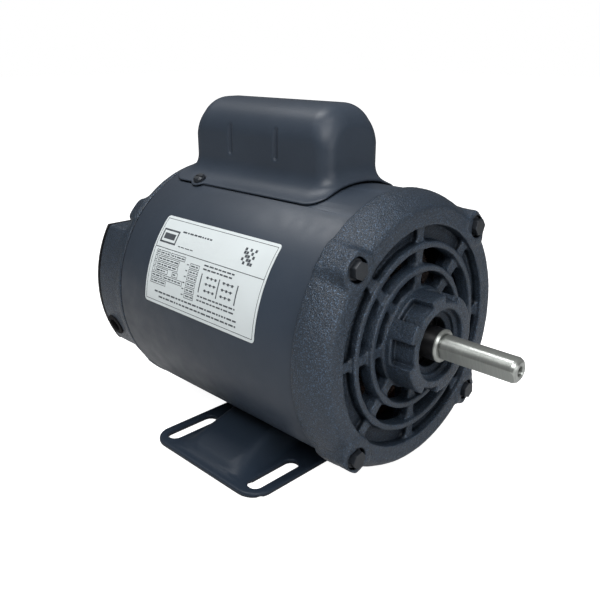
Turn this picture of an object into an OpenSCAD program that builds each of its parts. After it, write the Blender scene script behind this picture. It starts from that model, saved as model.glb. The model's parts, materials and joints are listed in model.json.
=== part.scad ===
// Open drip-proof single-phase electric motor, foot mounted.
// The shaft points to -Y and +Z is up.  The origin is the centre of the four
// base slots on the mounting plane.
// Nearly every piece is modelled about the shaft line, in a local frame whose
// +Z runs towards the drive end and whose +Y is up; on_axis() places it.

/* [Mounting] */
// Height of the shaft line above the mounting plane
shaft_height = 76.2; // [76.2:0.1:77]
// Distance between the slots along the shaft
slot_pitch_length = 69.85; // [69:0.05:71]
// Distance between the slot centres across the shaft
slot_pitch_width = 119.4; // [118:0.1:121]
// Overall length of a base slot
slot_length = 34.1; // [30:0.1:35]
// Width of a base slot
slot_width = 8.7; // [8:0.1:9]
// Foot plate size across the shaft
foot_width = 165.8; // [164:0.1:168]
// Foot plate size along the shaft
foot_length = 89.2; // [89:0.1:92]
// Thickness of the foot plate
foot_thickness = 3; // [2.8:0.1:3]

/* [Shell] */
// Outer diameter of the rolled shell
shell_d = 146; // [145.8:0.1:146]
// Wall thickness of the shell
shell_wall = 1.8; // [1.7:0.1:1.8]

/* [Shaft] */
// Diameter of the shaft extension
shaft_d = 12.7; // [12:0.1:14]
// Length of the shaft extension in front of its shoulder
shaft_extension = 40.6; // [30:0.1:45]
// Depth of the flat on the shaft extension
flat_depth = 1.1; // [1:0.1:1.4]
// Direction that the flat faces at rest, round the shaft
flat_angle = 203; // [0:1:359]

/* [Drive end] */
// Radius of the circle of through-bolts
bolt_circle_r = 68.4; // [68.3:0.1:68.5]
// Angle of the first through-bolt
bolt_angle = 46.7; // [45:0.1:47]
// Outer radius of the drive end hub
hub_r = 26; // [25.8:0.1:26]
// Number of spokes in the grille
spoke_count = 8; // [6:1:10]
// Width of a spoke
spoke_width = 5.5; // [4:0.1:6]

/* [Rear end] */
// Half height of the wiring compartment
compartment_half_h = 37.5; // [37:0.1:38]
// Depth of the wiring compartment behind the rear wall
compartment_depth = 18; // [18:0.1:18.5]

/* [Windings and core] */
// Number of stator slots
stator_slots = 36; // [24:12:36]
// Number of rotor bars
rotor_bars = 28; // [20:1:30]
// Radial gap between rotor and stator
air_gap = 0.4; // [0.3:0.1:0.5]

/* [Capacitor] */
// Half width of the capacitor cover
cover_half_w = 22; // [22:0.1:22.5]
// Height of the cover's top above the shaft line
cover_top = 112.6; // [112.6:0.1:113.5]
// Radius of the capacitor can
capacitor_r = 18.2; // [17:0.1:18.2]

/* [Centrifugal switch] */
// Number of turns of the governor spring
spring_turns = 3; // [2:1:3]

/* [Hidden] */
$fn = 96;

// Colours
paint = [0.16, 0.18, 0.20];
casting = [0.19, 0.21, 0.23];
dark_steel = [0.10, 0.11, 0.12];
bright_steel = [0.75, 0.76, 0.77];
ring_steel = [0.62, 0.63, 0.65];
lamination = [0.42, 0.42, 0.44];
aluminium = [0.78, 0.78, 0.80];
copper = [0.55, 0.24, 0.11];
phenolic = [0.22, 0.13, 0.09];
brass = [0.80, 0.62, 0.28];

// Fits: assembled pieces keep a small gap, running pieces a larger one
fit_gap = 0.03;
run_gap = 0.06;
eps = 1;

// Stations along the shaft line
shell_front = 62.7;
shell_rear = -80.8;
face_z = 80.6;
hub_front = 94;
shoulder_z = slot_pitch_length / 2 + 61;
tip_z = shoulder_z + shaft_extension;
stack_front = 25;
stack_rear = -35;
rear_wall_in = -86;
rear_wall_out = -90;
lug_back = -94;
lug_step = 0.5;
seam = 0.6;
lug_front = 80.4;
compartment_back = rear_wall_out - compartment_depth;

// Radii about the shaft line
shell_r = shell_d / 2;
shell_in_r = shell_r - shell_wall;
spigot_r = shell_in_r - 0.05;
rim_r = 74.2;
face_r = 67.1;
lug_r = 75;
bore_r = 39;
rotor_r = bore_r - air_gap;
core_seat_r = 10;
collar_seat_r = 9.5;

// Bearings: [bore radius, outer radius, front face, rear face, pitch radius, ball radius]
drive_bearing = [8.5, 20, 80, 68, 14.25, 3.37];
rear_bearing = [7.5, 17.5, -75, -86, 12.5, 2.97];
ball_count = 8;

// Centrifugal switch
pivot_y = 20;
pivot_z = -61;
pin_r = 1.2;
ear_in = 6.2;
ear_out = 7.4;
spool_r = 11.8;
groove_rear = -62.65;
groove_front = -59.6;
spool_rear = -69;
arm_y0 = 10.5;
arm_y1 = 15.5;
arm_pivot_x = 38;
arm_pivot_z = -71.2;
contact_x = 26;
plate_front = -74;
plate_rear = -76;
switch_posts = [[50, 21], [50, -1]];

// Wiring compartment
wall_t = 3;
compartment_r = 71.5;
cover_posts = [[-56, 24], [56, -24]];
board_posts = [[-25, 0], [25, 0]];
board_front = -96;
board_rear = -98.5;
stud_x = [-15, -5, 5, 15];
stud_y = [-6, 6];
ground_at = [34, -22];
grommet_angle = 200;
grommet_z = -101;
grommet_r = 6;
lead_r = 1.3;

// Capacitor and its cover
cover_front = 35;
cover_rear = -72.5;
cover_sheet = 1.3;
cover_end_r = 8;
cover_dome_r = 13;
flange_t = 1.5;
flange_half_angle = 26.6;
flange_front = 39.4;
flange_rear = -79.5;
capacitor_y = cover_top - cover_sheet - capacitor_r - 0.2;
capacitor_front = 22;
capacitor_rear = -43;
cover_screw_angle = 24.5;
cover_screw_z = -55;

// ---------------------------------------------------------------- helpers

module on_axis() {
  translate([0, 0, shaft_height]) rotate([90, 0, 0]) children();
}

module polar(angle, radius) {
  rotate([0, 0, angle]) translate([radius, 0, 0]) children();
}

// A radial frame: local +Z points outward at the given angle and station.
module radial(angle, z) {
  rotate([0, 0, angle]) translate([0, 0, z]) rotate([0, 90, 0]) children();
}

module at_bolts() {
  for (i = [0:3]) polar(bolt_angle + 90 * i, bolt_circle_r) children();
}

module disc(r, z0, z1) {
  translate([0, 0, z0]) cylinder(r = r, h = z1 - z0);
}

module ring(r_out, r_in, z0, z1) {
  difference() {
    disc(r_out, z0, z1);
    disc(r_in, z0 - eps, z1 + eps);
  }
}

module block(x0, x1, y0, y1, z0, z1) {
  translate([x0, y0, z0]) cube([x1 - x0, y1 - y0, z1 - z0]);
}

module ring_sector(r_in, r_out, a0, a1, z0, z1) {
  rotate([0, 0, a0]) translate([0, 0, z0]) rotate_extrude(angle = a1 - a0)
    translate([r_in, 0]) square([r_out - r_in, z1 - z0]);
}

// A curved slot with corners of radius rc, between two radii and two angles.
// The corner cylinders are a hair larger than rc, so that they cross its walls.
module arc_slot(r_in, r_out, a0, a1, rc, z0, z1) {
  oversize = 0.02;
  strip = 1.1 * rc;
  ring_sector(r_in + rc, r_out - rc, a0, a1, z0, z1);
  for (side = [[r_in, r_in + strip, r_in + rc], [r_out - strip, r_out, r_out - rc]]) {
    inset = asin(rc / side[2]);
    ring_sector(side[0], side[1], a0 + inset, a1 - inset, z0, z1);
    for (end = [[a0 + inset, 135], [a1 - inset, -135]])
      polar(end[0], side[2]) rotate([0, 0, end[1]]) disc(rc + oversize, z0, z1);
  }
}

module rounded_rect(x, y, r) {
  square([x - 2 * r, y], center = true);
  square([x, y - 2 * r], center = true);
  for (sx = [-1, 1], sy = [-1, 1])
    translate([sx * (x / 2 - r), sy * (y / 2 - r)]) circle(r);
}

module slot_shape(length, width) {
  square([length - width, width], center = true);
  for (s = [-1, 1]) translate([s * (length - width) / 2, 0]) circle(width / 2);
}

// A round wire through a list of points, with a ball at each inner bend.
module wire(points, r) {
  for (i = [0:len(points) - 2]) {
    d = points[i + 1] - points[i];
    translate(points[i]) rotate([0, acos(d[2] / norm(d)), atan2(d[1], d[0])])
      cylinder(r = r, h = norm(d), $fn = 24);
  }
  for (i = [1:len(points) - 2]) translate(points[i]) sphere(r = r * 1.15, $fn = 24);
}

module pan_head(r, h) {
  difference() {
    union() {
      cylinder(r = r, h = h * 0.6);
      translate([0, 0, h * 0.6]) cylinder(r1 = r, r2 = r * 0.75, h = h * 0.4);
    }
    translate([-r - eps, -r * 0.1, h * 0.55]) cube([2 * (r + eps), r * 0.2, h]);
  }
}

// A screw along +Z: the head's underside is at the origin, the shank below it.
module screw(head_r, head_h, shank_r, length) {
  pan_head(head_r, head_h);
  translate([0, 0, -length]) cylinder(r = shank_r, h = length + 0.1);
}

// ---------------------------------------------------------------- frame

module frame_shell() {
  lead_hole_z = -57;
  slit_z = -62;
  color(paint) on_axis() difference() {
    ring(shell_r, shell_in_r, shell_rear, shell_front);
    radial(90, lead_hole_z) translate([0, 0, shell_in_r - 4]) cylinder(r = 6, h = 8);
    for (s = [-1, 1]) {
      radial(90 + s * cover_screw_angle, cover_screw_z)
        translate([0, 0, shell_in_r - 4]) cylinder(r = 1.75, h = 8);
      radial(90 + s * cover_screw_angle, slit_z)
        translate([-0.8, -3, shell_in_r - 4]) cube([1.6, 6, 8]);
    }
  }
}

// Height of the saddle's sloping top at a distance from the motor's centre plane.
function saddle_top(x) = foot_thickness + 0.36 * (saddle_foot_x - x);
saddle_foot_x = 77.5;

// The closed form of the pressed saddle, shrunk by the sheet where needed.
module saddle_form(shrink) {
  crest_x = 38;
  foot_half = 26.5 - shrink;
  crest_half = 22.5 - shrink;
  drop = shrink * 1.05;
  for (s = [-1, 1]) mirror([s < 0 ? 1 : 0, 0, 0]) hull() {
    translate([0, -foot_half, -drop]) cube([saddle_foot_x - shrink, 2 * foot_half, 0.5]);
    translate([0, -foot_half, foot_thickness - drop])
      cube([saddle_foot_x - shrink - 2, 2 * foot_half, 0.1]);
    translate([0, -crest_half, saddle_top(crest_x) - drop]) cube([crest_x, 2 * crest_half, 0.1]);
  }
}

module base_foot() {
  corner_r = 12;
  color(paint) difference() {
    union() {
      linear_extrude(foot_thickness) rounded_rect(foot_width, foot_length, corner_r);
      saddle_form(0);
    }
    saddle_form(foot_thickness);
    translate([0, 0, shaft_height]) rotate([90, 0, 0])
      cylinder(r = shell_r + fit_gap, h = 2 * foot_length, center = true);
    for (sx = [-1, 1], sy = [-1, 1])
      translate([sx * slot_pitch_width / 2, sy * slot_pitch_length / 2, -eps])
        linear_extrude(4 * foot_thickness) slot_shape(slot_length, slot_width);
  }
}

module nameplate() {
  mid_angle = 156;
  half_height = 24.6;
  z_rear = -55.2;
  z_front = 36.5;
  plate_t = 0.25;
  color("white") on_axis() intersection() {
    ring(shell_r + fit_gap + plate_t, shell_r + fit_gap, z_rear, z_front);
    radial(mid_angle, (z_rear + z_front) / 2)
      linear_extrude(2 * shell_r) rounded_rect(z_front - z_rear, 2 * half_height, 2);
  }
}

// ---------------------------------------------------------------- end shields

// Half the angle that a spoke covers at a radius.
function spoke_half(r) = asin(spoke_width / 2 / r);

module grille_cut(r_in, r_out, corner, z0, z1) {
  pitch = 360 / spoke_count;
  half = spoke_half((r_in + r_out) / 2);
  for (i = [0:spoke_count - 1])
    arc_slot(r_in, r_out, i * pitch + half, (i + 1) * pitch - half, corner, z0, z1);
}

module drive_end_shield() {
  web_back = 72.5;
  web_front = 78.2;
  ring_front = 80.3;
  hub_back = 64;
  seat_r = drive_bearing[1] + fit_gap;
  seat_front = 82;
  bolt_floor = 78;
  hub_pockets = [72, 126.5, 178.5, 252.5];
  color(casting) on_axis() difference() {
    union() {
      rotate_extrude() polygon([
        [66, 56], [spigot_r, 56], [spigot_r, shell_front + 0.05], [rim_r, shell_front + 0.05],
        [rim_r, 66.5], [72.9, 71.5], [70.4, 76.5], [face_r, face_z],
        [57.7, face_z], [57.7, web_back], [61.5, web_back], [66, 66]
      ]);
      ring(58, 22, web_back, web_front);
      for (r = [46.1, 34.1]) ring(r + 4.1, r, web_front - 0.5, ring_front);
      disc(hub_r, hub_back, hub_front);
      for (i = [0:spoke_count - 1]) rotate([0, 0, i * 360 / spoke_count])
        block(hub_r - 3, 62, -2, 2, 68, web_back + 0.5);
      at_bolts() intersection() {
        disc(9, shell_front + lug_step, lug_front);
        translate([-bolt_circle_r, 0, 0]) disc(lug_r, shell_front, face_z + eps);
      }
    }
    // Grille: two rows of open slots and an outer row of blind pockets
    grille_cut(hub_r + 1, 34.3, 2.4, web_back - eps, ring_front + eps);
    grille_cut(38, 46.3, 2.8, web_back - eps, ring_front + eps);
    grille_cut(50, 57.6, 2.6, 74.8, ring_front + eps);
    // Through-bolts
    at_bolts() {
      disc(6.2, bolt_floor, face_z + eps);
      disc(2.7, 50, bolt_floor + eps);
      disc(4.6, 50, shell_front);
    }
    // Bearing seat, shaft mouth and its front recess
    disc(seat_r, hub_back - eps, seat_front);
    disc(12.8, seat_front - eps, hub_front);
    disc(18.5, 90.5, hub_front + eps);
    disc(16.4, 88.2, hub_front + eps);
    // Pockets round the hub, open to the front
    for (a = hub_pockets)
      ring_sector(22.3, hub_r + eps, a - 15, a + 15, 82, hub_front + eps);
  }
}

module compartment_outline(r, half_h, z0, z1) {
  intersection() {
    disc(r, z0, z1);
    block(-2 * r, 2 * r, -half_h, half_h, z0, z1);
  }
}

module rear_end_shield() {
  seat_r = rear_bearing[1] + fit_gap;
  color(casting) on_axis() difference() {
    union() {
      difference() {
        rotate_extrude() polygon([
          [66, -74], [spigot_r, -74], [spigot_r, shell_rear - seam], [72.6, shell_rear - seam],
          [72.6, -86], [69.5, rear_wall_out], [0, rear_wall_out], [0, rear_wall_in],
          [62, rear_wall_in], [66, -82]
        ]);
        // Air slots above and below the compartment
        for (side = [90, 270]) {
          arc_slot(45, 51, side - 26, side + 26, 2.8, rear_wall_out - eps, rear_wall_in + eps);
          arc_slot(55, 61, side - 33, side + 33, 2.8, rear_wall_out - eps, rear_wall_in + eps);
        }
      }
      disc(21.5, -89, -74);
      for (p = switch_posts) translate([p[0], p[1], 0]) disc(3.5, -87, plate_rear);
      at_bolts() intersection() {
        disc(7.5, lug_back, shell_rear - seam - 1.5);
        translate([-bolt_circle_r, 0, 0]) disc(72, lug_back - eps, shell_rear);
      }
      difference() {
        compartment_outline(compartment_r, compartment_half_h, compartment_back, -84);
        compartment_outline(compartment_r - wall_t, compartment_half_h - wall_t,
                            compartment_back - eps, rear_wall_out);
        compartment_outline(60, compartment_half_h - wall_t, rear_wall_out, -84 + eps);
      }
      for (p = cover_posts) translate([p[0], p[1], 0])
        disc(4, compartment_back, rear_wall_out + 1);
      for (p = board_posts) translate([p[0], p[1], 0]) disc(3.5, board_front, rear_wall_out + 1);
    }
    disc(seat_r, rear_wall_in, -73);
    disc(8.5, rear_wall_in - 2, -73);
    at_bolts() {
      disc(2.4 + fit_gap, lug_back + 1.5, -70);
      disc(4.6, shell_rear, -70);
    }
    for (p = switch_posts) translate([p[0], p[1], 0]) disc(1.3, -84, plate_rear + eps);
    for (p = cover_posts) translate([p[0], p[1], 0])
      disc(1.5, compartment_back - eps, compartment_back + 10);
    for (p = board_posts) translate([p[0], p[1], 0]) disc(1.3, board_front - eps, -91);
    translate([ground_at[0], ground_at[1], 0]) disc(1.75, rear_wall_out - eps, -80);
    // Windows for the leads
    for (sx = [-1, 1]) {
      translate([sx * 44.3, -14.5, 0]) disc(6, rear_wall_out - eps, -80);
      translate([sx * 14, 28, 0]) disc(4, rear_wall_out - eps, -80);
    }
    // Cable opening
    radial(grommet_angle, grommet_z) translate([0, 0, 60]) cylinder(r = grommet_r, h = 15);
  }
}

module terminal_cover() {
  color(dark_steel) on_axis() difference() {
    compartment_outline(compartment_r, compartment_half_h, compartment_back - 2.5,
                        compartment_back - fit_gap);
    for (p = cover_posts) translate([p[0], p[1], 0])
      disc(1.75, compartment_back - 4, compartment_back + eps);
  }
}

module terminal_cover_screws() {
  color(ring_steel) on_axis() for (p = cover_posts)
    translate([p[0], p[1], compartment_back - 2.5 - fit_gap]) rotate([180, 0, 0])
      screw(3.4, 2.2, 1.4, 11);
}

module cable_grommet() {
  lip = 0.8;
  lip_r = grommet_r + 0.8;
  color("black") on_axis() difference() {
    union() {
      intersection() {
        ring(compartment_r + lip, compartment_r - wall_t - lip, grommet_z - 10, grommet_z + 10);
        radial(grommet_angle, grommet_z) translate([0, 0, 60])
          cylinder(r = grommet_r - fit_gap, h = 15);
      }
      intersection() {
        union() {
          ring(compartment_r + lip, compartment_r + fit_gap, grommet_z - 10, grommet_z + 10);
          ring(compartment_r - wall_t - fit_gap, compartment_r - wall_t - lip,
               grommet_z - 10, grommet_z + 10);
        }
        radial(grommet_angle, grommet_z) translate([0, 0, 60]) cylinder(r = lip_r, h = 15);
      }
    }
    radial(grommet_angle, grommet_z) translate([0, 0, 59]) cylinder(r = grommet_r - 1.8, h = 17);
  }
}

// ---------------------------------------------------------------- fasteners

module through_bolts() {
  head_base = 78 + fit_gap;
  washer_t = 1.1;
  head_h = 3.9;
  color(dark_steel) on_axis() at_bolts() {
    disc(2.4, lug_back + 2, head_base + 1);
    disc(5.4, head_base, head_base + washer_t);
    translate([0, 0, head_base + washer_t - 0.1]) rotate([0, 0, 20])
      cylinder(r = 4.6, h = head_h, $fn = 6);
  }
}

// ---------------------------------------------------------------- stator

module stator_core() {
  slot_bottom = 61;
  color(lamination) on_axis() difference() {
    ring(shell_in_r - 0.05, bore_r, stack_rear, stack_front);
    for (i = [0:stator_slots - 1]) rotate([0, 0, i * 360 / stator_slots]) {
      block(40.6, slot_bottom, -2.2, 2.2, stack_rear - eps, stack_front + eps);
      block(bore_r - eps, 41, -1.1, 1.1, stack_rear - eps, stack_front + eps);
    }
    at_bolts() disc(3.4, stack_rear - eps, stack_front + eps);
  }
}

module slot_liners() {
  color([0.86, 0.82, 0.70]) on_axis() for (i = [0:stator_slots - 1])
    rotate([0, 0, i * 360 / stator_slots]) difference() {
      block(40.7, 60.9, -2.1, 2.1, stack_rear - 2, stack_front + 2);
      block(40.9, 60.7, -1.9, 1.9, stack_rear - 3, stack_front + 3);
      block(40, 41, -1, 1, stack_rear - 3, stack_front + 3);
    }
}

module slot_wedges() {
  color([0.80, 0.70, 0.50]) on_axis() for (i = [0:stator_slots - 1])
    rotate([0, 0, i * 360 / stator_slots])
      block(41, 41.8, -1.8, 1.8, stack_rear - 1.5, stack_front + 1.5);
}

// One end bundle of a winding: a ring with bevelled edges.
module end_bundle(r_in, r_out, z0, z1, bevel) {
  rotate_extrude() polygon([
    [r_in + bevel, z0], [r_out - bevel, z0], [r_out, z0 + bevel], [r_out, z1 - bevel],
    [r_out - bevel, z1], [r_in + bevel, z1], [r_in, z1 - bevel], [r_in, z0 + bevel]
  ]);
}

module winding(r_in, r_out, ring_in, ring_out, reach) {
  clear = 2.6;
  for (i = [0:stator_slots - 1]) rotate([0, 0, i * 360 / stator_slots])
    block(r_in, r_out, -1.7, 1.7, stack_rear - clear - 2, stack_front + clear + 2);
  end_bundle(ring_in, ring_out, stack_front + clear, stack_front + reach, 3);
  end_bundle(ring_in, ring_out, stack_rear - reach, stack_rear - clear, 3);
}

module main_winding() {
  color(copper) on_axis() winding(51.2, 60.4, 51.2, 64.8, 24);
}

module start_winding() {
  color([0.62, 0.30, 0.14]) on_axis() winding(42, 50.6, 42, 50.8, 20);
}

// ---------------------------------------------------------------- rotor

module shaft() {
  tip_r = shaft_d / 2;
  journal_r = drive_bearing[0];
  relief = 0.3;
  color(bright_steel) on_axis() difference() {
    rotate_extrude() polygon([
      [0, -87], [6.9, -87], [rear_bearing[0], -86.4], [rear_bearing[0], rear_bearing[2]],
      [collar_seat_r, rear_bearing[2]], [collar_seat_r, -44], [core_seat_r, -44],
      [core_seat_r, drive_bearing[3]], [journal_r, drive_bearing[3]],
      [journal_r, shoulder_z - 0.9], [journal_r - 0.9, shoulder_z],
      [tip_r - relief, shoulder_z], [tip_r - relief, shoulder_z + 0.8],
      [tip_r, shoulder_z + 0.8 + relief], [tip_r, tip_z - 2.2],
      [tip_r - 0.7, tip_z - 0.8], [tip_r - 2, tip_z], [0, tip_z]
    ]);
    rotate([0, 0, flat_angle])
      block(tip_r - flat_depth, tip_r + 5, -tip_r, tip_r, shoulder_z, tip_z + eps);
    disc(2.4, tip_z - 9, tip_z + eps);
    translate([0, 0, tip_z - 0.4]) cylinder(r1 = 2.4 - 0.01, r2 = 3, h = 0.6);
  }
}

module rotor_core() {
  color(lamination) on_axis() difference() {
    ring(rotor_r, core_seat_r + fit_gap, stack_rear, stack_front);
    for (i = [0:rotor_bars - 1]) polar(i * 360 / rotor_bars, 34.5)
      disc(3, stack_rear - eps, stack_front + eps);
  }
}

module rotor_cage() {
  blade_count = 8;
  end_ring_h = 7.5;
  blade_h = 5;
  color(aluminium) on_axis() {
    for (i = [0:rotor_bars - 1]) polar(i * 360 / rotor_bars, 34.5)
      disc(3 - fit_gap, stack_rear - 2, stack_front + 2);
    for (m = [0, 1]) translate([0, 0, m == 0 ? 0 : stack_rear + stack_front]) mirror([0, 0, m]) {
      ring(38.2, 24, stack_front + fit_gap, stack_front + end_ring_h);
      for (i = [0:blade_count - 1]) rotate([0, 0, i * 360 / blade_count])
        block(26, 37, -1.25, 1.25, stack_front + end_ring_h - 1, stack_front + end_ring_h + blade_h);
    }
  }
}

// ---------------------------------------------------------------- bearings

module bearing_ring(b, r_in, r_out) {
  difference() {
    ring(r_out, r_in, b[3], b[2]);
    translate([0, 0, (b[2] + b[3]) / 2]) rotate_extrude()
      translate([b[4], 0]) circle(b[5] + 0.05);
  }
}

module bearing_outer_ring(b) {
  color(ring_steel) on_axis() bearing_ring(b, b[4] + b[5] * 0.85, b[1]);
}

module bearing_inner_ring(b) {
  color(ring_steel) on_axis() bearing_ring(b, b[0] + 0.02, b[4] - b[5] * 0.85);
}

module ball_set(b, r) {
  translate([0, 0, (b[2] + b[3]) / 2])
    for (i = [0:ball_count - 1]) polar(i * 360 / ball_count, b[4]) sphere(r = r, $fn = 48);
}

module bearing_balls(b) {
  color(bright_steel) on_axis() ball_set(b, b[5]);
}

module bearing_cage(b) {
  mid = (b[2] + b[3]) / 2;
  half = b[5] + 0.6;
  color(brass) on_axis() difference() {
    ring(b[4] + 1.1, b[4] - 1.1, mid - half, mid + half);
    for (i = [0:ball_count - 1]) radial(i * 360 / ball_count, mid) cylinder(r = b[5] + 0.1, h = b[1]);
  }
}

module bearing_shields(b) {
  r_in = b[4] - b[5] * 0.85 + 0.3;
  r_out = b[4] + b[5] * 0.85 - 0.1;
  color(ring_steel) on_axis() for (z = [b[3] + 0.3, b[2] - 0.8]) ring(r_out, r_in, z, z + 0.5);
}

// Spring washer: a flat ring bent into three waves.
module wave_washer() {
  steps = 48;
  r_in = 15;
  r_out = 19.4;
  t = 0.5;
  mid = 81;
  lift = 0.6;
  points = [
    for (i = [0:steps - 1])
      let (a = i * 360 / steps, z = mid + lift * sin(3 * a))
        for (q = [[r_in, -t / 2], [r_out, -t / 2], [r_out, t / 2], [r_in, t / 2]])
          [q[0] * cos(a), q[0] * sin(a), z + q[1]]
  ];
  faces = [
    for (i = [0:steps - 1], k = [0:3])
      let (j = (i + 1) % steps, m = (k + 1) % 4)
        [4 * i + k, 4 * i + m, 4 * j + m, 4 * j + k]
  ];
  color(bright_steel) on_axis() polyhedron(points, faces);
}

// ---------------------------------------------------------------- centrifugal switch

module governor_base() {
  color(ring_steel) on_axis() difference() {
    union() {
      disc(24, -51, -49.6);
      disc(12.5, -54, -49.6);
      for (sx = [-1, 1], sy = [-1, 1]) mirror([sx < 0 ? 1 : 0, 0, 0]) mirror([0, sy < 0 ? 1 : 0, 0])
        block(ear_in, ear_out, 15, 23.2, -64, -50);
    }
    disc(collar_seat_r + fit_gap, -60, -40);
    for (s = [-1, 1]) translate([-10, s * pivot_y, pivot_z]) rotate([0, 90, 0])
      cylinder(r = pin_r + 0.02, h = 20);
  }
}

module governor_pins() {
  color(bright_steel) on_axis() for (s = [-1, 1])
    translate([-8, s * pivot_y, pivot_z]) rotate([0, 90, 0]) cylinder(r = pin_r, h = 16);
}

module governor_weight() {
  color(ring_steel) difference() {
    union() {
      block(-5.9, 5.9, 17.5, 24.5, -63, -52);
      block(-11, 11, 24, 29, -62, -52);
      block(-4, 4, 12.5, 18, -61.8, -60.2);
    }
    translate([-10, pivot_y, pivot_z]) rotate([0, 90, 0]) cylinder(r = pin_r + run_gap, h = 20);
  }
}

module governor_weight_upper() {
  on_axis() governor_weight();
}

module governor_weight_lower() {
  on_axis() mirror([0, 1, 0]) governor_weight();
}

// Helical compression spring round the collar.
module governor_spring() {
  steps_per_turn = 18;
  sides = 6;
  wire_r = 0.65;
  coil_r = 13.7;
  z_rear = -57.5;
  z_front = -51.9;
  steps = spring_turns * steps_per_turn;
  rise = (z_front - z_rear) / steps;
  points = [
    for (i = [0:steps])
      let (a = i * 360 / steps_per_turn)
        for (k = [0:sides - 1])
          let (r = coil_r + wire_r * cos(k * 360 / sides))
            [r * cos(a), r * sin(a), z_rear + i * rise + wire_r * sin(k * 360 / sides)]
  ];
  side_faces = [
    for (i = [0:steps - 1], k = [0:sides - 1])
      let (m = (k + 1) % sides)
        [sides * i + k, sides * (i + 1) + k, sides * (i + 1) + m, sides * i + m]
  ];
  start_face = [[for (k = [0:sides - 1]) k]];
  end_face = [[for (k = [0:sides - 1]) sides * steps + sides - 1 - k]];
  color(bright_steel) on_axis() polyhedron(points, concat(side_faces, start_face, end_face));
}

module governor_spool() {
  color([0.90, 0.88, 0.80]) on_axis() difference() {
    union() {
      disc(spool_r, spool_rear, groove_front + 1.2);
      disc(14.5, groove_front, groove_front + 1.2);
      disc(14.5, groove_rear - 1.2, groove_rear);
      disc(17, spool_rear, spool_rear + 1.6);
    }
    disc(collar_seat_r + run_gap, spool_rear - eps, -50);
  }
}

module switch_plate() {
  color(phenolic) on_axis() difference() {
    union() {
      block(24, 56, -6, 26, plate_rear + fit_gap, plate_front);
      for (y = [arm_y0 - 2, arm_y1 + 0.5])
        block(arm_pivot_x - 2.5, arm_pivot_x + 2.5, y, y + 1.5, plate_front - 0.5, -69.3);
    }
    for (p = switch_posts) translate([p[0], p[1], 0]) disc(1.6, plate_rear - eps, plate_front + eps);
    translate([arm_pivot_x, arm_y0 - 5, arm_pivot_z]) rotate([-90, 0, 0])
      cylinder(r = 1 + 0.02, h = 20);
    translate([contact_x, 13, 0]) disc(1 + fit_gap, plate_rear - eps, plate_front + eps);
  }
}

module switch_plate_screws() {
  color(ring_steel) on_axis() for (p = switch_posts)
    translate([p[0], p[1], plate_front + fit_gap]) screw(2.8, 1.8, 1.25, 7);
}

module switch_arm_pin() {
  color(bright_steel) on_axis() translate([arm_pivot_x, arm_y0 - 2.3, arm_pivot_z])
    rotate([-90, 0, 0]) cylinder(r = 1, h = arm_y1 - arm_y0 + 4.6);
}

module switch_arm() {
  color([0.72, 0.52, 0.26]) on_axis() difference() {
    union() {
      block(-12, arm_pivot_x, arm_y0, arm_y1, -69.9, -69.1);
      translate([arm_pivot_x, arm_y0, arm_pivot_z]) rotate([-90, 0, 0])
        cylinder(r = 2.05, h = arm_y1 - arm_y0);
    }
    translate([arm_pivot_x, arm_y0 - 1, arm_pivot_z]) rotate([-90, 0, 0])
      cylinder(r = 1 + run_gap, h = arm_y1 - arm_y0 + 2);
    translate([contact_x, 13, 0]) disc(0.8 + fit_gap, -75, -65);
  }
}

module fixed_contact() {
  color(brass) on_axis() translate([contact_x, 13, 0]) {
    disc(2, plate_front + fit_gap, -72.2);
    disc(1, plate_rear - 0.5, -73);
  }
}

module moving_contact() {
  color(brass) on_axis() translate([contact_x, 13, 0]) {
    disc(2, -72.1, -69.9 - fit_gap);
    disc(0.8, -70.5, -68.9);
  }
}

// ---------------------------------------------------------------- wiring

module terminal_board() {
  color(phenolic) on_axis() difference() {
    block(-29, 29, -13, 13, board_rear, board_front - fit_gap);
    for (p = board_posts) translate([p[0], p[1], 0]) disc(1.6, board_rear - eps, board_front + eps);
    for (x = stud_x, y = stud_y) translate([x, y, 0])
      disc(1.5 + fit_gap, board_rear - eps, board_front + eps);
  }
}

module terminal_board_screws() {
  color(ring_steel) on_axis() for (p = board_posts)
    translate([p[0], p[1], board_rear - fit_gap]) rotate([180, 0, 0]) screw(2.8, 1.8, 1.25, 6);
}

module terminal_studs() {
  color(brass) on_axis() for (x = stud_x, y = stud_y) translate([x, y, 0]) {
    disc(1.5, -104, board_front + 0.5);
    translate([0, 0, board_front + fit_gap]) cylinder(r = 3, h = 1.6, $fn = 6);
    translate([0, 0, board_rear - 2 - fit_gap]) cylinder(r = 3, h = 2, $fn = 6);
  }
}

// Leads from the end windings, through a lower window, to the lower studs.
module motor_leads() {
  color([0.75, 0.12, 0.10]) on_axis() for (sx = [-1, 1], k = [0, 1]) {
    x_window = sx * (42 + 4.5 * k);
    y_window = -12.5 - 4 * k;
    x_stud = sx * stud_x[3 - k];
    wire([
      [x_window, y_window, -55.1], [x_window, y_window, -101.9], [x_stud, y_window, -101.9],
      [x_stud, stud_y[0] - 1.6, -101.9]
    ], lead_r);
  }
}

module ground_screw() {
  color([0.10, 0.45, 0.20]) on_axis()
    translate([ground_at[0], ground_at[1], rear_wall_out - fit_gap]) rotate([180, 0, 0])
      screw(3.6, 2.4, 1.7, 7);
}

// ---------------------------------------------------------------- capacitor

module at_capacitor() {
  translate([0, capacitor_y, 0]) children();
}

module capacitor_can() {
  color(dark_steel) on_axis() at_capacitor() difference() {
    disc(capacitor_r, capacitor_rear, capacitor_front);
    disc(capacitor_r - 0.8, capacitor_rear - eps, capacitor_rear + 2.5);
  }
}

module capacitor_terminal_disc() {
  color(phenolic) on_axis() at_capacitor()
    disc(capacitor_r - 0.8 - fit_gap, capacitor_rear + 0.2, capacitor_rear + 2.4);
}

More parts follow.
